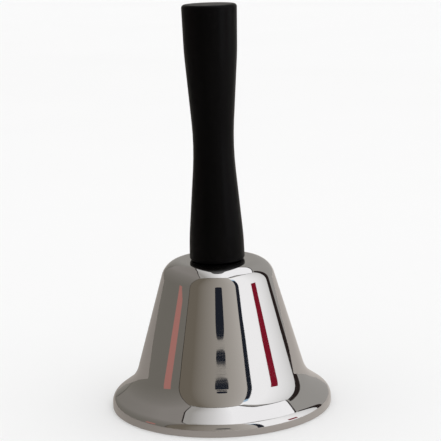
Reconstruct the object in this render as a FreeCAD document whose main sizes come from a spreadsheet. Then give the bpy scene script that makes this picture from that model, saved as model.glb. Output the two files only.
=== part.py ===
"""Hand bell: a pressed, plated steel shell on a turned wooden handle, with a swivelling clapper.

The frame is the bell's own: +Z up along its axis, the origin at the middle of the rim's flat lip,
where the bell stands. Lengths are millimetres, angles degrees. The pin of the clapper lies along Y.
"""

import FreeCAD, Part
import math
import os

import Sketcher
from FreeCAD import Placement, Rotation, Vector

doc = FreeCAD.newDocument("hand_bell")
sheet = doc.addObject("Spreadsheet::Sheet", "Sizes")


class Size:
    """A length or angle that holds its number and the sheet expression that gives it."""

    def __init__(self, value, text):
        self.value = value
        self.text = text

    def join(self, other, sign, value):
        text = other.text if isinstance(other, Size) else repr(other)
        return Size(value, f"({self.text} {sign} {text})")

    def __add__(self, other):
        return self.join(other, "+", self.value + number(other))

    def __sub__(self, other):
        return self.join(other, "-", self.value - number(other))

    def __mul__(self, other):
        return self.join(other, "*", self.value * number(other))

    def __truediv__(self, other):
        return self.join(other, "/", self.value / number(other))


def number(size):
    """The plain number of a Size, or the number itself."""
    return size.value if isinstance(size, Size) else size


def size(alias, value, meaning):
    """Writes one driving dimension into the sheet and returns it as a Size."""
    size.row += 1
    sheet.set(f"A{size.row}", meaning)
    sheet.set(f"B{size.row}", str(value))
    sheet.setAlias(f"B{size.row}", alias)
    return Size(float(value), f"Sizes.{alias}")


size.row = 0

# ---- driving dimensions -------------------------------------------------------------------------

# the shell, measured on its outside
overall_height = size("overall_height", 127, "rim to the top of the handle")
mouth_radius = size("mouth_radius", 35, "outside of the rim band")
crown_height = size("crown_height", 47, "outside of the flat crown above the rim")
band_height = size("band_height", 3.2, "rim band below the sharp corner of the flange")
flare_radius_at = size("flare_radius_at", 27.5, "radius where flange and wall lines meet")
flare_height = size("flare_height", 8.6, "height where flange and wall lines meet")
crown_radius = size("crown_radius", 16.42, "radius where wall and crown lines meet")
band_round = size("band_round", 3, "rounding between band and flange")
flare_round = size("flare_round", 11, "hollow between flange and wall")
shoulder_round = size("shoulder_round", 6.6, "rounding between wall and crown")
wall = size("wall", 1, "sheet thickness of the shell")
lip_round = size("lip_round", 0.25, "edge rounding of the lip")
crown_hole = size("crown_hole", 2.2, "radius of the hole in the crown")

# the handle, turned with three straight tapers
foot_radius = size("foot_radius", 8.7, "handle at the crown")
foot_bend_radius = size("foot_bend_radius", 8.56, "where the lower taper starts")
foot_bend_height = size("foot_bend_height", 7.1, "the same, above the crown")
waist_radius = size("waist_radius", 6.07, "where the tapers would meet at the waist")
waist_height = size("waist_height", 36.3, "the same, above the crown")
grip_radius = size("grip_radius", 8.24, "where the upper taper ends")
grip_height = size("grip_height", 65.4, "the same, above the crown")
top_radius = size("top_radius", 8.58, "handle at its top")
turned_blend = size("turned_blend", 97, "blend between the turned tapers")
top_round = size("top_round", 1, "rounding of the top edge")
foot_round = size("foot_round", 1.1, "rounding of the foot edge")
pilot_radius = size("pilot_radius", 2.1, "hole for the hanger bolt")
pilot_depth = size("pilot_depth", 32, "depth of that hole")
pilot_cone = size("pilot_cone", 1.2, "height of the drilled cone at its end")

# the hanger bolt: a wood thread above the crown, an M4 thread below it
bolt_radius = size("bolt_radius", 2, "thread crest and plain shank")
thread_pitch = size("thread_pitch", 0.7, "M4 pitch")
thread_depth = size("thread_depth", 0.35, "depth of the M4 grooves")
thread_turns = size("thread_turns", 11, "grooves of the M4 thread")
wood_core = size("wood_core", 1.4, "core of the wood thread")
wood_pitch = size("wood_pitch", 1.8, "pitch of the wood thread")
wood_turns = size("wood_turns", 14, "ridges of the wood thread")
wood_ridge = size("wood_ridge", 1, "width of a ridge at its foot")
plain_shank = size("plain_shank", 2.5, "plain length above the crown")
wood_length = size("wood_length", 30, "bolt above the crown")
tip_length = size("tip_length", 3, "tapered tip of the bolt")

# washers and nuts under the crown
washer_radius = size("washer_radius", 6, "flat washer")
washer_thickness = size("washer_thickness", 0.8, "flat washer")
spring_radius = size("spring_radius", 3.6, "spring washer")
spring_thickness = size("spring_thickness", 0.9, "spring washer")
spring_gap = size("spring_gap", 0.5, "slit of the spring washer")
nut_flats = size("nut_flats", 7, "M4 nut across its flats")
nut_height = size("nut_height", 3.2, "M4 nut")
jam_height = size("jam_height", 2.2, "thin M4 nut that keeps the hanger on")
small_gap = size("small_gap", 0.1, "running clearance, each side of the hanger's web")
thread_gap = size("thread_gap", 0.05, "clearance between a nut and its thread")

# the hanger, a strap bent into a stirrup, and its rivet
strap = size("strap", 1, "thickness of the hanger strap")
strap_width = size("strap_width", 6, "width of the strap along X")
leg_gap = size("leg_gap", 9.2, "between the hanger's legs along Y")
bend_inside = size("bend_inside", 0.8, "inner radius of the strap's bends")
swivel_radius = size("swivel_radius", 2.08, "hole of the hanger around the bolt")
pin_drop = size("pin_drop", 5.8, "pin axis below the underside of the web")
pin_radius = size("pin_radius", 1.2, "rivet shank")
head_radius = size("head_radius", 2.1, "rivet heads")
head_height = size("head_height", 1, "rivet heads")
pin_gap = size("pin_gap", 0.04, "clearance around the rivet")

# the clapper
barrel_radius = size("barrel_radius", 2.6, "barrel that turns on the rivet")
barrel_gap = size("barrel_gap", 0.15, "between the barrel's end and a leg")
rod_radius = size("rod_radius", 1.5, "M3 clapper rod")
rod_end = size("rod_end", 3.8, "height of the rod's lower end above the lip")
rod_thread_pitch = size("rod_thread_pitch", 0.5, "M3 pitch")
rod_thread_turns = size("rod_thread_turns", 37, "grooves of the M3 thread")
rod_thread_depth = size("rod_thread_depth", 0.25, "depth of the M3 grooves")
ball_radius = size("ball_radius", 6.5, "clapper ball")
ball_flat = size("ball_flat", 6.2, "half height of the ball between its flats")
ball_height = size("ball_height", 12.2, "middle of the ball above the lip")
ball_nut_flats = size("ball_nut_flats", 5.5, "M3 nut across its flats")
ball_nut_height = size("ball_nut_height", 1.8, "thin M3 nut")

# ---- heights down the axis, worked out from the driving dimensions --------------------------------

crown_inside = crown_height - wall
washer_bottom = crown_inside - washer_thickness
spring_bottom = washer_bottom - spring_thickness
nut_bottom = spring_bottom - nut_height
web_bottom = nut_bottom - small_gap - strap
jam_bottom = web_bottom - small_gap - jam_height
bolt_end = jam_bottom - 0.3
pin_height = web_bottom - pin_drop

# ---- helpers ----------------------------------------------------------------------------------------


def origin_plane(body, role):
    """One of a body's own origin planes or axes."""
    return next(f for f in body.Origin.OriginFeatures if f.Role == role)


def outline_sketch(body, name, corners, plane="XZ_Plane"):
    """A closed outline whose corners, and their roundings if they have one, are bound to the sheet."""
    sketch = body.newObject("Sketcher::SketchObject", name)
    sketch.AttachmentSupport = [(origin_plane(body, plane), "")]
    sketch.MapMode = "FlatFace"
    points = [Vector(number(corner[0]), number(corner[1]), 0) for corner in corners]
    for i, start in enumerate(points):
        sketch.addGeometry(Part.LineSegment(start, points[(i + 1) % len(points)]), False)
    for i in range(len(points)):
        sketch.addConstraint(Sketcher.Constraint("Coincident", i, 2, (i + 1) % len(points), 1))
    corner_of = list(range(len(points)))
    for i, corner in enumerate(corners):
        if len(corner) == 3:
            arc = sketch.GeometryCount
            sketch.fillet(i, 1, number(corner[2]), True, True)
            hold(sketch, "Radius", (arc,), corner[2])
            corner_of[i] = arc + 1
    for i, corner in enumerate(corners):
        for kind, axis, value in (("DistanceX", -2, corner[0]), ("DistanceY", -1, corner[1])):
            if number(value) == 0:
                sketch.addConstraint(Sketcher.Constraint("PointOnObject", corner_of[i], 1, axis))
            else:
                hold(sketch, kind, (-1, 1, corner_of[i], 1), value)
    return sketch


def hold(sketch, kind, references, value):
    """Adds one sketch dimension and binds it to the sheet."""
    at = sketch.addConstraint(Sketcher.Constraint(kind, *references, number(value)))
    if isinstance(value, Size):
        sketch.setExpression(f"Constraints[{at}]", value.text)


def turned(body, name, corners, kind="PartDesign::Revolution"):
    """A full turn of an outline about Z: a Revolution adds material, a Groove takes it away."""
    sketch = outline_sketch(body, f"{name}_profile", corners)
    feature = body.newObject(kind, name)
    feature.Profile = (sketch, [""])
    feature.ReferenceAxis = (sketch, ["V_Axis"])
    feature.Angle = 360
    sketch.Visibility = False
    doc.recompute()
    return feature


def repeated(body, feature, pitch, turns):
    """A row of copies of a feature up the body's own Z axis."""
    pattern = body.newObject("PartDesign::LinearPattern", f"{feature.Name}_row")
    pattern.Originals = [feature]
    pattern.Direction = (origin_plane(body, "Z_Axis"), [""])
    pattern.Occurrences = int(number(turns))
    pattern.Length = number(pitch) * (number(turns) - 1)
    pattern.setExpression("Length", f"{pitch.text} * ({turns.text} - 1)")
    pattern.setExpression("Occurrences", turns.text)
    body.Tip = pattern
    doc.recompute()
    return pattern


def rings(shape, radius, height):
    """Names of a shape's circular edges about Z of that radius at that height."""
    names = []
    for i, edge in enumerate(shape.Edges, 1):
        curve = edge.Curve
        if not isinstance(curve, Part.Circle):
            continue
        if abs(curve.Radius - number(radius)) < 0.01 and abs(curve.Center.z - number(height)) < 0.01:
            names.append(f"Edge{i}")
    return names


def rounded(body, name, edges, radius):
    """A fillet on the named edges of the body's tip."""
    feature = body.newObject("PartDesign::Fillet", name)
    feature.Base = (body_tip(body, feature), edges)
    feature.Radius = number(radius)
    feature.setExpression("Radius", radius.text)
    doc.recompute()
    return feature


def body_tip(body, newest):
    """The feature that came just before the newest one in a body."""
    solids = [f for f in body.Group if f.isDerivedFrom("PartDesign::Feature") and f != newest]
    return solids[-1]


def lift(part, height):
    """Binds the height of a part that was modelled at its own zero."""
    part.Placement = Placement(Vector(0, 0, number(height)), part.Placement.Rotation)
    part.setExpression("Placement.Base.z", height.text)


def primitive(kind, name, bottom, **sizes):
    """A Part primitive that stands on the given height, with its sizes bound to the sheet."""
    shape = doc.addObject(kind, name)
    for key, value in sizes.items():
        setattr(shape, key, number(value))
        if isinstance(value, Size):
            shape.setExpression(key, value.text)
    shape.Placement = Placement(Vector(0, 0, number(bottom)), Rotation())
    if isinstance(bottom, Size):
        shape.setExpression("Placement.Base.z", bottom.text)
    return shape


def boolean(kind, name, base, tool):
    """Part::Cut or Part::Common of two objects."""
    result = doc.addObject(kind, name)
    result.Base = base
    result.Tool = tool
    doc.recompute()
    return result


def hex_nut(name, flats, height, bore, bottom):
    """A hexagon nut with chamfered corners and countersunk thread ends, standing on its bottom height."""
    corner = flats / math.sqrt(3)
    prism = primitive("Part::Prism", f"{name}_prism", bottom, Circumradius=corner, Height=height)
    prism.Polygon = 6
    barrel = doc.addObject("PartDesign::Body", f"{name}_barrel")
    chamfer = 0.16 * number(flats) / math.sqrt(3)
    face = flats * 0.475
    crest = flats * 0.6
    profile = [(0, 0), (face, 0), (crest, chamfer), (crest, height - chamfer), (face, height), (0, height)]
    turned(barrel, f"{name}_chamfers", profile)
    lift(barrel, bottom)
    blank = boolean("Part::Common", f"{name}_blank", prism, barrel)
    thread = doc.addObject("PartDesign::Body", f"{name}_thread")
    sink = bore + 0.3
    core = [(0, 0), (sink, 0), (bore, 0.3), (bore, height - 0.3), (sink, height), (0, height)]
    turned(thread, f"{name}_bore", core)
    lift(thread, bottom)
    return boolean("Part::Cut", name, blank, thread)


# ---- the shell and the handle -----------------------------------------------------------------------


def bell_shell():
    """Drawn sheet shell: rim band, flared flange, straight wall, round shoulder and flat crown."""
    body = doc.addObject("PartDesign::Body", "bell_shell")
    outline = [
        (0, 0),
        (mouth_radius, 0),
        (mouth_radius, band_height, band_round),
        (flare_radius_at, flare_height, flare_round),
        (crown_radius, crown_height, shoulder_round),
        (0, crown_height),
    ]
    blank = turned(body, "shell_blank", outline)
    mouth = next(i for i, f in enumerate(blank.Shape.Faces, 1) if abs(f.CenterOfMass.z) < 1e-6)
    hollow = body.newObject("PartDesign::Thickness", "shell_hollow")
    hollow.Base = (blank, [f"Face{mouth}"])
    hollow.Value = number(wall)
    hollow.setExpression("Value", wall.text)
    hollow.Mode = "Skin"
    hollow.Join = "Intersection"
    hollow.Reversed = True
    doc.recompute()
    low = crown_inside - 1
    high = crown_height + 1
    hole = [(0, low), (crown_hole, low), (crown_hole, high), (0, high)]
    drilled = turned(body, "crown_drilling", hole, "PartDesign::Groove")
    edges = rings(drilled.Shape, mouth_radius, 0) + rings(drilled.Shape, mouth_radius - wall, 0)
    rounded(body, "lip_rounding", edges, lip_round)
    return body


def handle():
    """Turned handle: foot on the crown, narrow waist, wider top, and a blind hole for the bolt."""
    body = doc.addObject("PartDesign::Body", "handle")
    length = overall_height - crown_height
    outline = [
        (0, 0),
        (foot_radius, 0, foot_round),
        (foot_bend_radius, foot_bend_height, turned_blend),
        (waist_radius, waist_height, turned_blend),
        (grip_radius, grip_height, turned_blend),
        (top_radius, length, top_round),
        (0, length),
    ]
    turned(body, "handle_blank", outline)
    end = pilot_depth + pilot_cone
    hole = [(0, 0), (pilot_radius, 0), (pilot_radius, pilot_depth), (0, end)]
    turned(body, "pilot_hole", hole, "PartDesign::Groove")
    lift(body, crown_height)
    return body


# ---- what holds them together -------------------------------------------------------------------------


def hanger_bolt():
    """Bolt with a wood thread in the handle and an M4 thread below the crown. Threads are rings."""
    body = doc.addObject("PartDesign::Body", "hanger_bolt")
    top = crown_height + wood_length
    shank_top = crown_height + plain_shank
    outline = [
        (0, bolt_end),
        (bolt_radius - 0.4, bolt_end),
        (bolt_radius, bolt_end + 0.4),
        (bolt_radius, shank_top),
        (wood_core, shank_top + 0.5),
        (wood_core, top - tip_length),
        (0, top),
    ]
    turned(body, "bolt_blank", outline)
    low = bolt_end + 0.6
    half = thread_pitch * 0.45
    root = bolt_radius - thread_depth
    groove = [(root, low), (bolt_radius + 0.1, low - half), (bolt_radius + 0.1, low + half)]
    repeated(body, turned(body, "machine_groove", groove, "PartDesign::Groove"), thread_pitch, thread_turns)
    first = shank_top + 1.5
    ridge_half = wood_ridge / 2
    inside = wood_core - 0.2
    ridge = [(inside, first - ridge_half), (bolt_radius, first), (inside, first + ridge_half)]
    repeated(body, turned(body, "wood_ridge", ridge), wood_pitch, wood_turns)
    return body


def crown_washer():
    """Flat washer that spreads the nut's load under the crown."""
    thick = washer_thickness
    disc = primitive("Part::Cylinder", "washer_disc", washer_bottom, Radius=washer_radius, Height=thick)
    hole = primitive("Part::Cylinder", "washer_hole", washer_bottom, Radius=crown_hole, Height=thick)
    blank = boolean("Part::Cut", "washer_blank", disc, hole)
    edge = doc.addObject("Part::Chamfer", "crown_washer")
    edge.Base = blank
    lower = rings(blank.Shape, washer_radius, washer_bottom)
    edge.Edges = [(int(name[4:]), 0.2, 0.2) for name in lower]
    doc.recompute()
    return edge


def lock_washer():
    """Split spring washer between the flat washer and the nut."""
    thick = spring_thickness
    disc = primitive("Part::Cylinder", "spring_disc", spring_bottom, Radius=spring_radius, Height=thick)
    hole = primitive("Part::Cylinder", "spring_hole", spring_bottom, Radius=crown_hole, Height=thick)
    ring = boolean("Part::Cut", "spring_ring", disc, hole)
    across = spring_radius * 2
    slit = primitive("Part::Box", "spring_slit", 0, Length=across, Width=spring_gap, Height=thick * 3)
    slit.Placement = Placement(
        Vector(0, 0, number(spring_bottom) - number(spring_thickness)), Rotation(Vector(1, 0, 0), 25)
    )
    slit.setExpression("Placement.Base.z", (spring_bottom - spring_thickness).text)
    return boolean("Part::Cut", "lock_washer", ring, slit)


# ---- the hanger that turns about Z ----------------------------------------------------------------------


def clapper_hanger():
    """Strap bent into a stirrup: a web with a hole for the bolt, and two legs that hold the rivet."""
    body = doc.addObject("PartDesign::Body", "clapper_hanger")
    inner = leg_gap / 2
    outer = inner + strap
    web_top = web_bottom + strap
    leg_end = pin_height - strap_width / 2
    minus_inner = Size(-inner.value, f"(-1 * {inner.text})")
    minus_outer = Size(-outer.value, f"(-1 * {outer.text})")
    outline = [
        (minus_outer, leg_end),
        (minus_inner, leg_end),
        (minus_inner, web_bottom),
        (inner, web_bottom),
        (inner, leg_end),
        (outer, leg_end),
        (outer, web_top),
        (minus_outer, web_top),
    ]
    sketch = outline_sketch(body, "hanger_outline", outline, "YZ_Plane")
    strap_pad = body.newObject("PartDesign::Pad", "hanger_strap")
    strap_pad.Profile = (sketch, [""])
    strap_pad.Length = number(strap_width)
    strap_pad.setExpression("Length", strap_width.text)
    strap_pad.SideType = "Symmetric"
    doc.recompute()

    def bends(shape, y, z):
        """Names of the edges along X at that distance from the XZ plane and that height."""
        found = []
        for i, edge in enumerate(shape.Edges, 1):
            middle = edge.CenterOfMass
            if abs(middle.x) < 1e-6 and abs(abs(middle.y) - y) < 0.01 and abs(middle.z - z) < 0.01:
                found.append(f"Edge{i}")
        return found

    rounded(body, "inner_bends", bends(strap_pad.Shape, inner.value, web_bottom.value), bend_inside)
    shape = body.Tip.Shape
    rounded(body, "outer_bends", bends(shape, outer.value, web_top.value), bend_inside + strap)
    corners = []
    for i, edge in enumerate(body.Tip.Shape.Edges, 1):
        middle = edge.CenterOfMass
        across = abs(abs(middle.x) - strap_width.value / 2) < 0.01
        if across and abs(middle.z - leg_end.value) < 0.01:
            corners.append(f"Edge{i}")
    rounded(body, "leg_ends", corners, strap_width * 0.49)
    low = web_bottom - 1
    high = web_top + 1
    hole = [(0, low), (swivel_radius, low), (swivel_radius, high), (0, high)]
    turned(body, "swivel_hole", hole, "PartDesign::Groove")
    pin_hole = body.newObject("Sketcher::SketchObject", "pin_hole_circle")
    pin_hole.AttachmentSupport = [(origin_plane(body, "XZ_Plane"), "")]
    pin_hole.MapMode = "FlatFace"
    centre = Vector(0, pin_height.value, 0)
    pin_hole.addGeometry(Part.Circle(centre, Vector(0, 0, 1), pin_radius.value), False)
    pin_hole.addConstraint(Sketcher.Constraint("PointOnObject", 0, 3, -2))
    rise = pin_hole.addConstraint(Sketcher.Constraint("DistanceY", -1, 1, 0, 3, pin_height.value))
    pin_hole.setExpression(f"Constraints[{rise}]", pin_height.text)
    bore = pin_hole.addConstraint(Sketcher.Constraint("Radius", 0, pin_radius.value))
    pin_hole.setExpression(f"Constraints[{bore}]", pin_radius.text)
    drill = body.newObject("PartDesign::Pocket", "pin_holes")
    drill.Profile = (pin_hole, [""])
    drill.Type = "ThroughAll"
    drill.SideType = "Symmetric"
    doc.recompute()
    return body


def pivot_rivet():
    """Rivet through both legs, with a round head at each end."""
    body = doc.addObject("PartDesign::Body", "pivot_rivet")
    leg = leg_gap / 2 + strap
    half_length = leg + head_height
    minus_leg = Size(-leg.value, f"(-1 * {leg.text})")
    minus_half = Size(-half_length.value, f"(-1 * {half_length.text})")
    crest = head_radius * 0.55
    outline = [
        (0, minus_half),
        (crest, minus_half),
        (head_radius, minus_leg - head_height * 0.35),
        (head_radius, minus_leg),
        (pin_radius, minus_leg),
        (pin_radius, leg),
        (head_radius, leg),
        (head_radius, leg + head_height * 0.35),
        (crest, half_length),
        (0, half_length),
    ]
    turned(body, "rivet_blank", outline)
    body.Placement = Placement(Vector(0, 0, pin_height.value), Rotation(Vector(1, 0, 0), -90))
    body.setExpression("Placement.Base.z", pin_height.text)
    return body


# ---- the clapper that swings on the rivet ---------------------------------------------------------------


def clapper_barrel():
    """Short tube that turns on the rivet, drilled from below for the rod."""
    body = doc.addObject("PartDesign::Body", "barrel_blank")
    half = leg_gap / 2 - barrel_gap
    minus_half = Size(-half.value, f"(-1 * {half.text})")
    bore = pin_radius + pin_gap
    outline = [
        (bore, minus_half),
        (barrel_radius - 0.2, minus_half),
        (barrel_radius, minus_half + 0.2),
        (barrel_radius, half - 0.2),
        (barrel_radius - 0.2, half),
        (bore, half),
    ]
    turned(body, "barrel_tube", outline)
    body.Placement = Placement(Vector(0, 0, pin_height.value), Rotation(Vector(1, 0, 0), -90))
    body.setExpression("Placement.Base.z", pin_height.text)
    seat = primitive(
        "Part::Cylinder",
        "rod_seat",
        pin_height - barrel_radius,
        Radius=rod_radius + 0.02,
        Height=barrel_radius,
    )
    return boolean("Part::Cut", "clapper_barrel", body, seat)


def clapper_rod():
    """Rod from the barrel through the ball, with an M3 thread on its lower part."""
    body = doc.addObject("PartDesign::Body", "clapper_rod")
    top = pin_height - pin_radius - 0.3
    outline = [
        (0, rod_end),
        (rod_radius - 0.3, rod_end),
        (rod_radius, rod_end + 0.3),
        (rod_radius, top - 0.3),
        (rod_radius - 0.3, top),
        (0, top),
    ]
    turned(body, "rod_blank", outline)
    low = rod_end + 0.5
    half = rod_thread_pitch * 0.42
    root = rod_radius - rod_thread_depth
    groove = [(root, low), (rod_radius + 0.1, low - half), (rod_radius + 0.1, low + half)]
    first = turned(body, "rod_groove", groove, "PartDesign::Groove")
    repeated(body, first, rod_thread_pitch, rod_thread_turns)
    return body


def clapper_ball():
    """Drilled ball with a small flat above and below for its nuts."""
    ball = primitive("Part::Sphere", "ball_round", ball_height, Radius=ball_radius)
    latitude = math.degrees(math.asin(number(ball_flat) / number(ball_radius)))
    ball.Angle1 = -latitude
    ball.Angle2 = latitude
    ball.setExpression("Angle2", f"asin({ball_flat.text} / {ball_radius.text})")
    ball.setExpression("Angle1", f"-1 * asin({ball_flat.text} / {ball_radius.text})")
    hole = primitive(
        "Part::Cylinder",
        "ball_hole",
        ball_height - ball_radius,
        Radius=rod_radius + thread_gap,
        Height=ball_radius * 2,
    )
    return boolean("Part::Cut", "clapper_ball", ball, hole)


def clapper_nuts():
    """The two M3 nuts that clamp the ball on the rod."""
    above = ball_height + ball_flat
    below = ball_height - ball_flat - ball_nut_height
    bore = rod_radius + thread_gap
    pair = doc.addObject("Part::Compound", "clapper_nuts")
    pair.Links = [
        hex_nut("upper_ball_nut", ball_nut_flats, ball_nut_height, bore, above),
        hex_nut("lower_ball_nut", ball_nut_flats, ball_nut_height, bore, below),
    ]
    doc.recompute()
    return pair


# ---- build, check and write every sub-part --------------------------------------------------------

parts = [
    bell_shell(),
    handle(),
    hanger_bolt(),
    crown_washer(),
    lock_washer(),
    hex_nut("crown_nut", nut_flats, nut_height, bolt_radius + thread_gap, nut_bottom),
    hex_nut("jam_nut", nut_flats, jam_height, bolt_radius + thread_gap, jam_bottom),
    clapper_hanger(),
    pivot_rivet(),
    clapper_barrel(),
    clapper_rod(),
    clapper_ball(),
    clapper_nuts(),
]
doc.recompute()

for item in doc.Objects:
    if "Invalid" in item.State or "Error" in item.State:
        raise RuntimeError(f"{item.Name} failed: {item.State}")

os.makedirs("parts", exist_ok=True)
for part in parts:
    shape = part.Shape
    if shape.isNull() or not shape.isValid() or shape.Volume <= 0:
        raise RuntimeError(f"{part.Label} has no valid solid")
    shape.exportStep(f"parts/{part.Label}.step")
    box = shape.optimalBoundingBox()
    print(
        f"{part.Label:16s} solids {len(shape.Solids)} volume {shape.Volume:9.1f} mm3 "
        f"x {box.XLength:6.2f} y {box.YLength:6.2f} z {box.ZMin:7.2f} to {box.ZMax:7.2f}"
    )
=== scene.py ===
"""Visual model of the hand bell: mirror-bright shell, black lacquered handle and the clapper inside.

Lengths in the helpers are millimetres, as in the CAD source, and become metres in the meshes.
"""

import math

import bmesh
import bpy
from mathutils import Matrix, Vector

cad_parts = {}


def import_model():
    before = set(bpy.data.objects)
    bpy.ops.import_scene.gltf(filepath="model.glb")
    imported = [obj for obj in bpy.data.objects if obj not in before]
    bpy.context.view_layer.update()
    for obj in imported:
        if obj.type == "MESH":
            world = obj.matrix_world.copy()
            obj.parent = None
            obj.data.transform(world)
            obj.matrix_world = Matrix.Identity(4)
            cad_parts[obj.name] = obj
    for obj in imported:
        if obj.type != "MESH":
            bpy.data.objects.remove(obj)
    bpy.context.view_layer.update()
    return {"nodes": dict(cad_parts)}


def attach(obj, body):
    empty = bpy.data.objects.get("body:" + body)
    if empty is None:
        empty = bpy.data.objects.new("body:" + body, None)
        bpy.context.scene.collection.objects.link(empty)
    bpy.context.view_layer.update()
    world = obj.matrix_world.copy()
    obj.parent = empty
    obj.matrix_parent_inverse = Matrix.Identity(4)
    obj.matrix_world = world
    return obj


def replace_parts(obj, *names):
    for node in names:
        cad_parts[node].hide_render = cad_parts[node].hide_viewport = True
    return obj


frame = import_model()

MM = 0.001

# ---- sizes repeated from the CAD source, in millimetres -------------------------------------------

SHELL_CORNERS = [(35, 0), (35, 3.2, 3), (27.5, 8.6, 11), (16.42, 47, 6.6), (2.2, 47)]
SHELL_WALL = 1
LIP_ROUND = 0.25
HANDLE_CORNERS = [
    (0, 33.2),
    (2.1, 32),
    (2.1, 0),
    (8.7, 0, 1.1),
    (8.56, 7.1, 97),
    (6.07, 36.3, 97),
    (8.24, 65.4, 97),
    (8.58, 80, 1),
    (0, 80),
]
CROWN = 47

BOLT_RADIUS = 2.0
BOLT_END = 37.4
BOLT_THREAD_TOP = 45.1
BOLT_SHANK_TOP = 49.5
BOLT_TOP = 77.0
BOLT_PITCH, BOLT_DEPTH = 0.7, 0.35
WOOD_PITCH, WOOD_DEPTH = 1.8, 0.55
NUT_BORE = 2.02
NUT_FLATS = 7.0
CROWN_NUT = (41.1, 44.3)
JAM_NUT = (37.7, 39.9)
WASHER_HOLE, WASHER_RADIUS = 2.2, 6.0
WASHER = (45.2, 46.0)
PIN = 34.2  # height of the rivet's axis
PIN_RADIUS = 1.2
RIVET_HEAD, RIVET_RISE = 2.1, 1.0
STRAP_HALF = 5.6  # from the axis to the outside of the strap's legs
BARREL_BORE, BARREL_RADIUS, BARREL_HALF = 1.24, 2.6, 4.45
BARREL_CHAMFER = 0.2
ROD_RADIUS = 1.5
ROD_END, ROD_THREAD_TOP, ROD_TOP = 3.8, 22.4, 32.7
ROD_PITCH, ROD_DEPTH = 0.5, 0.25
BALL_RADIUS, BALL_FLAT, BALL_HEIGHT = 6.5, 6.2, 12.2
BALL_HOLE = 1.55
BALL_NUT_FLATS = 5.5
BALL_NUT_BELOW = (4.2, 6.0)
BALL_NUT_ABOVE = (18.4, 20.2)

# ---- mesh helpers -----------------------------------------------------------------------------------


def rounded_outline(corners, chord=0.35, turn=math.radians(3)):
    """Points along a chain of (r, z[, rounding]) corners, close enough together to look smooth."""
    points = [Vector(corners[0][:2])]
    for before, corner, after in zip(corners, corners[1:], corners[2:]):
        here = Vector(corner[:2])
        if len(corner) == 2:
            points.append(here)
            continue
        back = (Vector(before[:2]) - here).normalized()
        ahead = (Vector(after[:2]) - here).normalized()
        half = back.angle(ahead) / 2
        reach = corner[2] / math.tan(half)
        centre = here + (back + ahead).normalized() * corner[2] / math.sin(half)
        start = here + back * reach - centre
        sweep = math.copysign(math.pi - 2 * half, ahead.x * back.y - ahead.y * back.x)
        steps = max(4, math.ceil(abs(sweep) / turn))
        for i in range(steps + 1):
            turned = sweep * i / steps
            side = Vector((-start.y, start.x))
            points.append(centre + start * math.cos(turned) + side * math.sin(turned))
    points.append(Vector(corners[-1][:2]))
    return fine(points, chord)


def fine(points, chord):
    """The same chain with its long runs cut into short ones near their ends, and longer in between."""
    result = [points[0]]
    for start, end in zip(points, points[1:]):
        run = (end - start).length
        if run > 4 * chord:
            inner = max(1, round(run / 2.5))
            spots = [chord / run] + [i / inner for i in range(1, inner)] + [1 - chord / run]
            result += [start.lerp(end, t) for t in sorted(spots)]
        result.append(end)
    return result


def offset(points, distance):
    """The chain moved sideways by a distance, to its left."""
    moved = []
    for i, point in enumerate(points):
        before = points[max(i - 1, 0)]
        after = points[min(i + 1, len(points) - 1)]
        along = (after - before).normalized()
        moved.append(point + Vector((-along.y, along.x)) * distance)
    return moved


def link(name, mesh, materials, smooth_angle=None):
    """Makes an object of a bmesh, in metres, with its normals out and its materials."""
    bmesh.ops.remove_doubles(mesh, verts=mesh.verts, dist=1e-7)
    bmesh.ops.recalc_face_normals(mesh, faces=mesh.faces)
    data = bpy.data.meshes.new(name)
    mesh.to_mesh(data)
    mesh.free()
    obj = bpy.data.objects.new(name, data)
    bpy.context.scene.collection.objects.link(obj)
    for material in materials:
        data.materials.append(material)
    data.polygons.foreach_set("use_smooth", [True] * len(data.polygons))
    if smooth_angle:
        data.set_sharp_from_angle(angle=smooth_angle)
    return obj


def swept(mesh, rings, closed, slot_of=None):
    """Joins rings of points with quads. A ring of one point closes an end."""
    verts = [[mesh.verts.new(Vector(p) * MM) for p in ring] for ring in rings]
    pairs = list(zip(verts, verts[1:]))
    if closed:
        pairs.append((verts[-1], verts[0]))
    for row, (low, high) in enumerate(pairs):
        count = max(len(low), len(high))
        for i in range(count):
            j = (i + 1) % count
            corners = [low[i % len(low)], low[j % len(low)], high[j % len(high)], high[i % len(high)]]
            unique = list(dict.fromkeys(corners))
            if len(unique) < 3:
                continue
            face = mesh.faces.new(unique)
            face.smooth = True
            if slot_of:
                face.material_index = slot_of(row)


def lathe(name, profile, materials, segments=96, closed=False, shape=None, smooth_angle=None, slot_of=None):
    """Turns a profile of (r, z) about Z. shape(angle, r, z) may change the radius, as for a hexagon."""
    mesh = bmesh.new()
    rings = []
    for r, z in profile:
        if r < 1e-6:
            rings.append([(0, 0, z)])
            continue
        ring = []
        for i in range(segments):
            angle = 2 * math.pi * i / segments
            radius = shape(angle, r, z) if shape else r
            ring.append((radius * math.cos(angle), radius * math.sin(angle), z))
        rings.append(ring)
    swept(mesh, rings, closed, slot_of)
    return link(name, mesh, materials, smooth_angle)


# ---- materials ----------------------------------------------------------------------------------------


def node_material(name):
    """A material with only a Principled shader, and its node tree's parts."""
    material = bpy.data.materials.new(name)
    material.use_nodes = True
    tree = material.node_tree
    shader = tree.nodes["Principled BSDF"]
    return material, tree, shader


def add(tree, kind, inputs=None, **settings):
    """A new node with its settings and its unlinked or linked inputs."""
    node = tree.nodes.new(kind)
    for key, value in settings.items():
        setattr(node, key, value)
    for key, value in (inputs or {}).items():
        if isinstance(value, bpy.types.NodeSocket):
            tree.links.new(value, node.inputs[key])
        else:
            node.inputs[key].default_value = value
    return node


def place(tree, scale):
    """Object coordinates stretched by a scale on each axis."""
    where = add(tree, "ShaderNodeTexCoord")
    return add(tree, "ShaderNodeMapping", {"Vector": where.outputs["Object"], "Scale": scale}).outputs[0]


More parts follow.
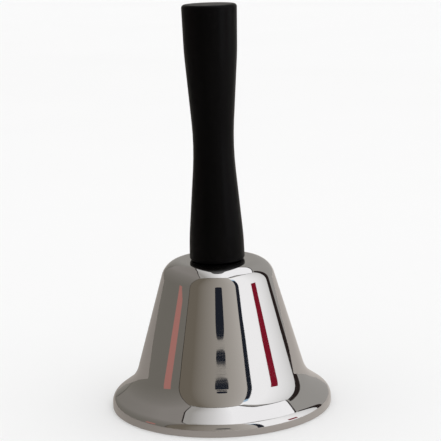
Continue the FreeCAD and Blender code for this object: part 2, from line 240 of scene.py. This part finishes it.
def noise(tree, scale, detail=3.0, stretch=(1, 1, 1), roughness=0.55):
    """A noise value in object space."""
    inputs = {"Vector": place(tree, stretch), "Scale": scale, "Detail": detail, "Roughness": roughness}
    return add(tree, "ShaderNodeTexNoise", inputs).outputs[0]


def ramp(tree, value, low, high, from_min=0.0, from_max=1.0):
    """A value taken from one range to another."""
    inputs = {"Value": value, "From Min": from_min, "From Max": from_max, "To Min": low, "To Max": high}
    return add(tree, "ShaderNodeMapRange", inputs).outputs[0]


def blend_colour(tree, factor, first, second):
    """A colour between two colours."""
    node = add(tree, "ShaderNodeMix", {"Factor": factor}, data_type="RGBA")
    node.inputs[6].default_value = (*first, 1)
    node.inputs[7].default_value = (*second, 1)
    return node.outputs[2]


def base_colour(tree, shader, factor, first, second):
    """Gives the shader a base colour that wanders between two colours."""
    tree.links.new(blend_colour(tree, factor, first, second), shader.inputs["Base Color"])


def bump(tree, shader, height, strength, distance):
    """Feeds a height into the shader's normal."""
    node = add(tree, "ShaderNodeBump", {"Height": height, "Strength": strength, "Distance": distance})
    tree.links.new(node.outputs[0], shader.inputs["Normal"])


def chrome():
    """Polished chrome plate: nearly a mirror, with a faint haze, polishing marks and a soft ripple."""
    material, tree, shader = node_material("chrome_plate")
    shader.inputs["Metallic"].default_value = 1
    haze = noise(tree, 38, 4)
    base_colour(tree, shader, haze, (0.600, 0.592, 0.582), (0.555, 0.548, 0.540))
    marks = noise(tree, 260, 2, (1, 1, 9))
    both = add(tree, "ShaderNodeMath", {0: haze, 1: marks}, operation="MULTIPLY").outputs[0]
    tree.links.new(ramp(tree, both, 0.015, 0.075, 0.1, 0.5), shader.inputs["Roughness"])
    ripple = noise(tree, 55, 2, (1, 1, 0.6))
    bump(tree, shader, ripple, 0.18, 0.0004)
    return material


def plated_inside():
    """The shell's inside: plated, but not polished, so the drawing marks show as fine rings."""
    material, tree, shader = node_material("plated_inside")
    shader.inputs["Metallic"].default_value = 1
    cloud = noise(tree, 45, 5)
    base_colour(tree, shader, cloud, (0.50, 0.485, 0.46), (0.34, 0.33, 0.315))
    rings = noise(tree, 180, 3, (0.05, 0.05, 6))
    tree.links.new(ramp(tree, rings, 0.22, 0.46, 0.3, 0.7), shader.inputs["Roughness"])
    bump(tree, shader, rings, 0.35, 0.0002)
    return material


def lacquered_wood():
    """Black satin lacquer over close-grained wood: the grain shows only as faint lines in the gloss."""
    material, tree, shader = node_material("black_lacquered_wood")
    grain = noise(tree, 240, 4, (1, 1, 0.045))
    cloud = noise(tree, 28, 3, (1, 1, 0.35))
    base_colour(tree, shader, grain, (0.0005, 0.0005, 0.0006), (0.0016, 0.0014, 0.0016))
    uneven = add(tree, "ShaderNodeMath", {0: grain, 1: cloud}, operation="ADD").outputs[0]
    tree.links.new(ramp(tree, uneven, 0.27, 0.43, 0.7, 1.3), shader.inputs["Roughness"])
    shader.inputs["IOR"].default_value = 1.3
    shader.inputs["Specular IOR Level"].default_value = 0.13
    shader.inputs["Coat Weight"].default_value = 0.02
    shader.inputs["Coat Roughness"].default_value = 0.22
    bump(tree, shader, grain, 0.25, 0.00012)
    return material


def plated_steel(name, light, dark, rough_low, rough_high):
    """Plated steel of the small fittings, cloudy and a little scratched."""
    material, tree, shader = node_material(name)
    shader.inputs["Metallic"].default_value = 1
    cloud = noise(tree, 210, 4)
    base_colour(tree, shader, cloud, light, dark)
    scratch = noise(tree, 900, 2, (1, 0.15, 1))
    tree.links.new(ramp(tree, scratch, rough_low, rough_high, 0.3, 0.7), shader.inputs["Roughness"])
    bump(tree, shader, scratch, 0.15, 0.00008)
    return material


# ---- pieces -------------------------------------------------------------------------------------------

CHROME = chrome()
INSIDE = plated_inside()
BLACK = lacquered_wood()
ZINC = plated_steel("zinc_plated_steel", (0.62, 0.62, 0.60), (0.45, 0.45, 0.44), 0.24, 0.42)
NICKEL = plated_steel("nickel_plated_ball", (0.66, 0.63, 0.58), (0.55, 0.52, 0.48), 0.10, 0.24)


def shell():
    """The drawn shell as one closed skin: chrome outside and round the lip, unpolished inside."""
    outer = rounded_outline(SHELL_CORNERS)
    inner = offset(outer, SHELL_WALL)
    lip = []
    lip_steps = 6
    for side, sign in ((outer[0].x, 1), (outer[0].x - SHELL_WALL, -1)):
        centre = Vector((side - sign * LIP_ROUND, LIP_ROUND))
        for i in range(lip_steps):
            angle = math.pi / 2 * i / (lip_steps - 1)
            if sign > 0:
                lip.append(centre + LIP_ROUND * Vector((math.cos(angle), -math.sin(angle))))
            else:
                lip.append(centre + LIP_ROUND * Vector((-math.sin(angle), -math.cos(angle))))
    above_lip = LIP_ROUND + 0.02
    outer_run = [p for p in outer if p.y > above_lip]
    inner_run = [p for p in inner if p.y > above_lip]
    profile = outer_run[::-1] + lip + inner_run
    inside_from = len(outer_run) + lip_steps
    piece = lathe(
        "shell_skin",
        profile,
        [CHROME, INSIDE],
        segments=240,
        closed=True,
        slot_of=lambda row: 1 if row >= inside_from and row < len(profile) - 1 else 0,
    )
    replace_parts(piece, "bell_shell")
    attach(piece, "bell")


def grip():
    """The turned handle."""
    profile = [p + Vector((0, CROWN)) for p in rounded_outline(HANDLE_CORNERS)]
    piece = lathe("handle_turning", profile, [BLACK], segments=160)
    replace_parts(piece, "handle")
    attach(piece, "bell")


NUT_CHAMFER = 1.7  # how fast a nut's corners widen from its end faces
NUT_FACE = 0.475  # radius of a nut's end face, as a share of the width across its flats
NUT_SINK = 0.3  # countersink of a nut's bore


def hexagon(flats, low, high):
    """A radius function for a nut: six flats, with its corners turned off at both ends."""

    def radius(angle, r, z):
        if r < flats / 2 * 0.93:
            return r
        corner = (angle + math.pi / 6) % (math.pi / 3) - math.pi / 6
        flat = flats / 2 / math.cos(corner)
        crest = r + min(z - low, high - z) * NUT_CHAMFER
        return min(flat, crest)

    return radius


def hex_nut(name, body, bore, flats, low, high, material, slot):
    """A hexagon nut between two heights, with a countersunk bore."""
    face = flats * NUT_FACE
    levels = [low + (high - low) * t for t in (0.03, 0.06, 0.1, 0.15, 0.22, 0.3, 0.4, 0.5)]
    walls = levels + [low + high - z for z in levels[-2::-1]]
    sink = bore + NUT_SINK
    profile = [(sink, low), (face, low)] + [(face, z) for z in walls] + [(face, high)]
    profile += [(sink, high), (bore, high - NUT_SINK), (bore, low + NUT_SINK)]
    shape = hexagon(flats, low, high)
    piece = lathe(name, profile, [material], 120, closed=True, shape=shape, smooth_angle=math.radians(28))
    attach(piece, body)
    return piece


def thread(name, outer, depth, pitch, low, high, thread_top, material, slot, body):
    """A rod with a helical thread from its lower end up to thread_top, and a plain shank above."""
    segments = 48
    rows_per_turn = 8
    end_taper = 0.4
    end_drop = 0.3
    rows = round((high - low) * rows_per_turn / pitch)

    def shape(angle, r, z):
        if r < outer * 0.5:
            return r
        taper = min(1, (z - low) / end_taper, (high - z) / end_taper)
        crest = outer - end_drop * (1 - max(0, taper))
        if z > thread_top:
            return crest
        phase = (z / pitch - angle / math.tau) % 1
        runout = max(0, min(1, (thread_top - z) / pitch))
        return crest - depth * abs(2 * phase - 1) ** 1.2 * runout

    side = [(outer, low + (high - low) * i / rows) for i in range(rows + 1)]
    profile = [(0, low)] + side + [(0, high)]
    piece = lathe(name, profile, [material], segments, shape=shape, smooth_angle=math.radians(50))
    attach(piece, body)
    return piece


def along_y(piece, height):
    """Turns a piece made about Z so that it lies along Y at a height."""
    turn = Matrix.Translation((0, 0, height * MM)) @ Matrix.Rotation(math.radians(-90), 4, "X")
    piece.data.transform(turn)


def clapper():
    """Barrel, rod, ball and its two nuts."""
    face = BARREL_RADIUS - BARREL_CHAMFER
    edge = BARREL_HALF - BARREL_CHAMFER
    barrel = [(BARREL_BORE, -BARREL_HALF), (face, -BARREL_HALF), (BARREL_RADIUS, -edge)]
    barrel += [(r, -z) for r, z in barrel[::-1]]
    tube = lathe("barrel_tube", barrel, [ZINC], 96, closed=True, smooth_angle=math.radians(30))
    along_y(tube, PIN)
    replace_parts(tube, "clapper_barrel")
    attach(tube, "clapper")
    stem = (ROD_RADIUS, ROD_DEPTH, ROD_PITCH, ROD_END, ROD_TOP, ROD_THREAD_TOP)
    rod = thread("clapper_stem", *stem, ZINC, "zinc_plated_steel", "clapper")
    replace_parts(rod, "clapper_rod")
    outline = [(BALL_HOLE, BALL_HEIGHT - BALL_FLAT)]
    half_steps = 32
    for i in range(2 * half_steps + 1):
        angle = math.asin(BALL_FLAT / BALL_RADIUS) * (i / half_steps - 1)
        outline.append((BALL_RADIUS * math.cos(angle), BALL_HEIGHT + BALL_RADIUS * math.sin(angle)))
    outline.append((BALL_HOLE, BALL_HEIGHT + BALL_FLAT))
    smooth = math.radians(35)
    ball = lathe("striking_ball", outline, [NICKEL], 128, closed=True, smooth_angle=smooth)
    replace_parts(ball, "clapper_ball")
    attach(ball, "clapper")
    size = (ROD_RADIUS, BALL_NUT_FLATS)
    upper = hex_nut("ball_nut_above", "clapper", *size, *BALL_NUT_ABOVE, ZINC, "zinc_plated_steel")
    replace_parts(upper, "clapper_nuts")
    hex_nut("ball_nut_below", "clapper", *size, *BALL_NUT_BELOW, ZINC, "zinc_plated_steel")


def keep_node(name, material):
    """A CAD node whose shape is right stays, with a material of its own."""
    data = frame["nodes"][name].data
    data.materials.clear()
    data.materials.append(material)


def hanger():
    """The rivet. The strap is the CAD node, which has its holes and bends."""
    keep_node("clapper_hanger", ZINC)
    head = []
    steps = 8
    for i in range(steps + 1):
        angle = math.pi / 2 * i / steps
        head.append((RIVET_HEAD * math.sin(angle), STRAP_HALF + RIVET_RISE * math.cos(angle)))
    half = head + [(RIVET_HEAD, STRAP_HALF), (PIN_RADIUS, STRAP_HALF)]
    rivet = half + [(r, -z) for r, z in half[::-1]]
    pin = lathe("rivet_pin", rivet, [ZINC], 64, smooth_angle=math.radians(35))
    along_y(pin, PIN)
    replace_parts(pin, "pivot_rivet")
    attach(pin, "hanger")


def fixings():
    """The bolt's two threads, the two nuts and the washers under the crown."""
    keep_node("lock_washer", ZINC)
    finish = (ZINC, "zinc_plated_steel")
    metal = (BOLT_RADIUS, BOLT_DEPTH, BOLT_PITCH, BOLT_END, BOLT_SHANK_TOP, BOLT_THREAD_TOP)
    wood = (BOLT_RADIUS, WOOD_DEPTH, WOOD_PITCH, BOLT_SHANK_TOP, BOLT_TOP, BOLT_TOP)
    bolt = thread("bolt_thread", *metal, *finish, "bell")
    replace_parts(bolt, "hanger_bolt")
    thread("bolt_wood_thread", *wood, *finish, "bell")
    size = (NUT_BORE, NUT_FLATS)
    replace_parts(hex_nut("crown_nut_hex", "bell", *size, *CROWN_NUT, *finish), "crown_nut")
    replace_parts(hex_nut("jam_nut_hex", "bell", *size, *JAM_NUT, *finish), "jam_nut")
    low, high = WASHER
    ring = [(WASHER_HOLE, low), (WASHER_RADIUS - 0.2, low), (WASHER_RADIUS - 0.06, low + 0.06)]
    ring += [(WASHER_RADIUS, low + 0.2), (WASHER_RADIUS, high), (WASHER_HOLE, high)]
    washer = lathe("washer_ring", ring, [ZINC], 96, closed=True, smooth_angle=math.radians(30))
    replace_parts(washer, "crown_washer")
    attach(washer, "bell")


shell()
grip()
clapper()
hanger()
fixings()

# ---- floor, reflection tent, light and camera ----------------------------------------------------------

TENT = 0.8  # height of the tent's roof, metres
UNDER_ROOF = 0.999  # cards just below the roof, and so seen instead of it
SEAM_HEIGHT = 0.995  # roof seams, just below those cards
GAP_SKY = (0.53, 0.68)  # where sky shows in the gap between the front and right walls
THIN_SEAM, ROOF_SEAM = 0.006, 0.012
SLOT_WALL = -0.372  # the openings stand just in front of the front wall
SLOTS = {  # height, half width and half height of each opening, metres
    "slot_upper": (0.1233, 0.036, 0.0168),
    "slot_lower": (0.0962, 0.036, 0.0042),
    "slot_foot": (0.0823, 0.046, 0.0046),
}
FLOOR_RADIUS = 4
GLOSSY_FLOOR_RADIUS = 3
GLOSSY_FLOOR_HEIGHT = -0.0002
DISC_CORNERS = 64
DAYLIGHT = 1.08  # strength of the white light from all round
CAMERA_PLACE = (0, -0.470, 0.1569)  # metres
CAMERA_TURN = (0.17, 11.73, -1.87)  # to the right, downwards and roll, degrees
SENSOR = 36
LENS = 124.57143  # focal length, millimetres like the sensor's width


def emission(name, colour, end_colour=None, axis=0, start=0.0, end=1.0):
    """A glowing material for a card, even or changing from one colour to another along an axis, metres."""
    material = bpy.data.materials.new(name)
    material.use_nodes = True
    tree = material.node_tree
    tree.nodes.clear()
    glow = tree.nodes.new("ShaderNodeEmission")
    glow.inputs["Color"].default_value = (*colour, 1)
    if end_colour:
        where = add(tree, "ShaderNodeTexCoord")
        split = add(tree, "ShaderNodeSeparateXYZ", {0: where.outputs["Object"]})
        along = ramp(tree, split.outputs[axis], 0.0, 1.0, start, end)
        tree.links.new(blend_colour(tree, along, colour, end_colour), glow.inputs["Color"])
    out = tree.nodes.new("ShaderNodeOutputMaterial")
    tree.links.new(glow.outputs[0], out.inputs["Surface"])
    return material


def card(name, corners, material):
    """A flat card that only shows in reflections."""
    data = bpy.data.meshes.new(name)
    data.from_pydata([tuple(c) for c in corners], [], [list(range(len(corners)))])
    data.materials.append(material)
    obj = bpy.data.objects.new(name, data)
    bpy.context.scene.collection.objects.link(obj)
    obj.visible_camera = False
    obj.visible_diffuse = False
    obj.visible_shadow = False
    obj.visible_transmission = False
    return obj


def wall(name, start, end, material, low=0.0, high=1.0):
    """An upright card between two points of the tent's plan, in units of its height."""
    a = Vector((*start, 0)) * TENT
    b = Vector((*end, 0)) * TENT
    up = Vector((0, 0, TENT * high))
    down = Vector((0, 0, TENT * low))
    card(name, [a + down, b + down, b + up, a + up], material)


FRONT_LEFT = (-0.52, -0.325)
FRONT_RIGHT = (0.275, -0.408)
GAP_RIGHT = (0.366, -0.429)
BACK_RIGHT = (1.012, 0.494)
BACK_LEFT = (-1.03, 2.2)
ROOF_RIGHT = [(0.433, -0.128), (0.603, -0.012), (0.756, 0.132), (0.898, 0.306)]
ROOF_LEFT = [(-0.49, -0.31), (-0.293, 0.478), (-0.185, 1.314), (-0.10, 1.42)]


def tent():
    """Cards in the places of a light tent's walls, its roof, seams and openings."""
    # Painted light and shade: the walls are cards that glow instead of being lit. The right wall and the
    # roof glow brightly as lit walls, and the front, left and back walls glow dimly as walls in shade. Each
    # card changes colour along one axis as light falls across it.
    front = emission("tent_front", (0.215, 0.187, 0.15), (0.68, 0.64, 0.60), 0, -0.24, 0.21)
    left = emission("tent_left", (0.235, 0.22, 0.195), (0.36, 0.335, 0.315), 2, 0.1, 0.8)
    back = emission("tent_back", (0.25, 0.235, 0.21), (0.47, 0.455, 0.435), 0, -0.8, 0.45)
    bright = emission("tent_right", (1.42, 1.42, 1.45), (0.86, 0.86, 0.86), 1, -0.2, 0.395)
    roof_light = emission("tent_roof", (0.50, 0.485, 0.465), (1.42, 1.42, 1.46), 0, -0.26, 0.08)
    dark = emission("tent_dark", (0.02, 0.024, 0.035))
    brown = emission("tent_seam", (0.03, 0.022, 0.02))
    pink = emission("tent_pink", (0.56, 0.25, 0.22))
    red = emission("tent_red", (0.30, 0.012, 0.03))
    blue = emission("tent_gap_sky", (0.55, 0.78, 1.0))
    wall("card_front", FRONT_LEFT, FRONT_RIGHT, front)
    wall("card_gap", FRONT_RIGHT, GAP_RIGHT, dark, 0.0, GAP_SKY[0])
    wall("card_gap_sky", FRONT_RIGHT, GAP_RIGHT, blue, *GAP_SKY)
    wall("card_gap_top", FRONT_RIGHT, GAP_RIGHT, bright, GAP_SKY[1], 1.0)
    wall("card_right", GAP_RIGHT, BACK_RIGHT, bright)
    wall("card_back", BACK_RIGHT, BACK_LEFT, back)
    wall("card_left", BACK_LEFT, FRONT_LEFT, left)
    roof = [ROOF_LEFT[0], FRONT_RIGHT] + ROOF_RIGHT + ROOF_LEFT[:0:-1]
    shade = [FRONT_RIGHT, GAP_RIGHT, BACK_RIGHT, ROOF_LEFT[-1]] + ROOF_RIGHT[::-1]
    side = ROOF_LEFT + [BACK_LEFT, FRONT_LEFT]
    card("card_roof_shade", [Vector((x, y, UNDER_ROOF)) * TENT for x, y in shade], back)
    card("card_roof", [Vector((x, y, 1)) * TENT for x, y in roof], roof_light)
    card("card_roof_side", [Vector((x, y, UNDER_ROOF)) * TENT for x, y in side], left)
    seam("seam_front_left", (*FRONT_LEFT, 0), (*FRONT_LEFT, 1), 0.004, brown)
    seam("seam_back_right", (*BACK_RIGHT, 0), (*BACK_RIGHT, 1), 0.13, brown)
    seam("seam_back_left", (*BACK_LEFT, 0), (*BACK_LEFT, 1), 0.03, brown)
    edges = [ROOF_LEFT[0], FRONT_RIGHT] + ROOF_RIGHT + [ROOF_LEFT[-1]]
    for i, (a, b) in enumerate(zip(edges, edges[1:])):
        width = THIN_SEAM if i == 0 else ROOF_SEAM
        seam(f"seam_roof_{i}", (*a, SEAM_HEIGHT), (*b, SEAM_HEIGHT), width, brown)
    for i, (a, b) in enumerate(zip(ROOF_LEFT, ROOF_LEFT[1:])):
        seam(f"seam_side_{i}", (*a, SEAM_HEIGHT), (*b, SEAM_HEIGHT), THIN_SEAM, brown)
    for name, sizes in SLOTS.items():
        opening(name, *sizes, dark)
    strip("strip_red", (0.3996, -0.158), (0.4516, -0.0835), 0.050, 0.140, red)
    strip("strip_pink", (-0.430, -0.150), (-0.452, -0.060), 0.055, 0.124, pink)
    glossy_floor()


def strip(name, start, end, low, high, material):
    """A coloured strip just in front of a side wall, in metres."""
    nearer = 0.98
    a = Vector((*start, 0)) * nearer
    b = Vector((*end, 0)) * nearer
    down = Vector((0, 0, low))
    up = Vector((0, 0, high))
    card(name, [a + down, b + down, b + up, a + up], material)


def disc(radius, height):
    """Corners of a round card or floor."""
    turns = [math.tau * i / DISC_CORNERS for i in range(DISC_CORNERS)]
    return [(radius * math.cos(turn), radius * math.sin(turn), height) for turn in turns]


def glossy_floor():
    """Floor card round the bell that only reflections see, shaded by the bell like the floor, and with
    painted shade: greyer than the floor itself and darker towards -X, where less light falls.
    """
    material, tree, shader = node_material("floor_reflected_painted_shade")
    where = add(tree, "ShaderNodeTexCoord")
    split = add(tree, "ShaderNodeSeparateXYZ", {0: where.outputs["Object"]})
    along = ramp(tree, split.outputs[0], 0.0, 1.0, -0.03, 0.03)
    # Painted shade: a grey base colour, darker towards -X, stands in for the shade the floor shows in
    # reflections.
    base_colour(tree, shader, along, (0.40, 0.365, 0.335), (0.62, 0.575, 0.54))
    shader.inputs["Roughness"].default_value = 1
    shader.inputs["Specular IOR Level"].default_value = 0
    card("card_floor", disc(GLOSSY_FLOOR_RADIUS, GLOSSY_FLOOR_HEIGHT), material)


def seam(name, start, end, radius, material):
    """A square strip between two points, in units of the tent's height."""
    a = Vector(start) * TENT
    b = Vector(end) * TENT
    along = (b - a).normalized()
    side = along.orthogonal().normalized()
    other = along.cross(side)
    width = radius * TENT
    corners = []
    for end_point in (a, b):
        for s, o in ((1, 1), (-1, 1), (-1, -1), (1, -1)):
            corners.append(end_point + (side * s + other * o) * width)
    faces = [(0, 1, 2, 3), (4, 5, 6, 7), (0, 1, 5, 4), (1, 2, 6, 5), (2, 3, 7, 6), (3, 0, 4, 7)]
    bar = card(name, corners[:4], material)
    bar.data.clear_geometry()
    bar.data.from_pydata([tuple(c) for c in corners], [], faces)


def opening(name, height, half_width, half_height, material):
    """A dark opening with round corners in the middle of the front wall, in metres."""
    squareness = 0.45
    corners = []
    for i in range(32):
        angle = 2 * math.pi * i / 32
        across = math.copysign(abs(math.cos(angle)) ** squareness, math.cos(angle)) * half_width
        rise = math.copysign(abs(math.sin(angle)) ** squareness, math.sin(angle)) * half_height
        corners.append(Vector((across, SLOT_WALL * TENT, height + rise)))
    card(name, corners, material)


def floor():
    """A plain pale floor."""
    data = bpy.data.meshes.new("floor")
    data.from_pydata(disc(FLOOR_RADIUS, 0), [], [list(range(DISC_CORNERS))])
    material, tree, shader = node_material("floor_paper")
    mottle = noise(tree, 6, 2)
    base_colour(tree, shader, mottle, (0.90, 0.90, 0.90), (0.885, 0.885, 0.885))
    shader.inputs["Roughness"].default_value = 0.9
    shader.inputs["Specular IOR Level"].default_value = 0.1
    data.materials.append(material)
    obj = bpy.data.objects.new("floor", data)
    bpy.context.scene.collection.objects.link(obj)
    obj.visible_glossy = False


def world():
    """Even white light from all round."""
    sky = bpy.data.worlds.new("studio")
    sky.use_nodes = True
    background = sky.node_tree.nodes["Background"]
    background.inputs["Color"].default_value = (1, 1, 1, 1)
    background.inputs["Strength"].default_value = DAYLIGHT
    bpy.context.scene.world = sky


def camera():
    """The camera of the photograph: 47 cm away, a little above the bell, tipped down and rolled."""
    data = bpy.data.cameras.new("camera")
    data.sensor_width = SENSOR
    data.lens = LENS
    obj = bpy.data.objects.new("camera", data)
    yaw, pitch, roll = (math.radians(angle) for angle in CAMERA_TURN)
    ahead = Vector((math.sin(yaw) * math.cos(pitch), math.cos(yaw) * math.cos(pitch), -math.sin(pitch)))
    level = Vector((math.cos(yaw), -math.sin(yaw), 0))
    upright = level.cross(ahead)
    right = level * math.cos(roll) + upright * math.sin(roll)
    up = upright * math.cos(roll) - level * math.sin(roll)
    turn = Matrix((right, up, -ahead)).transposed().to_4x4()
    obj.matrix_world = Matrix.Translation(CAMERA_PLACE) @ turn
    bpy.context.scene.collection.objects.link(obj)
    bpy.context.scene.camera = obj


floor()
tent()
world()
camera()
bpy.context.scene.view_settings.view_transform = "Standard"
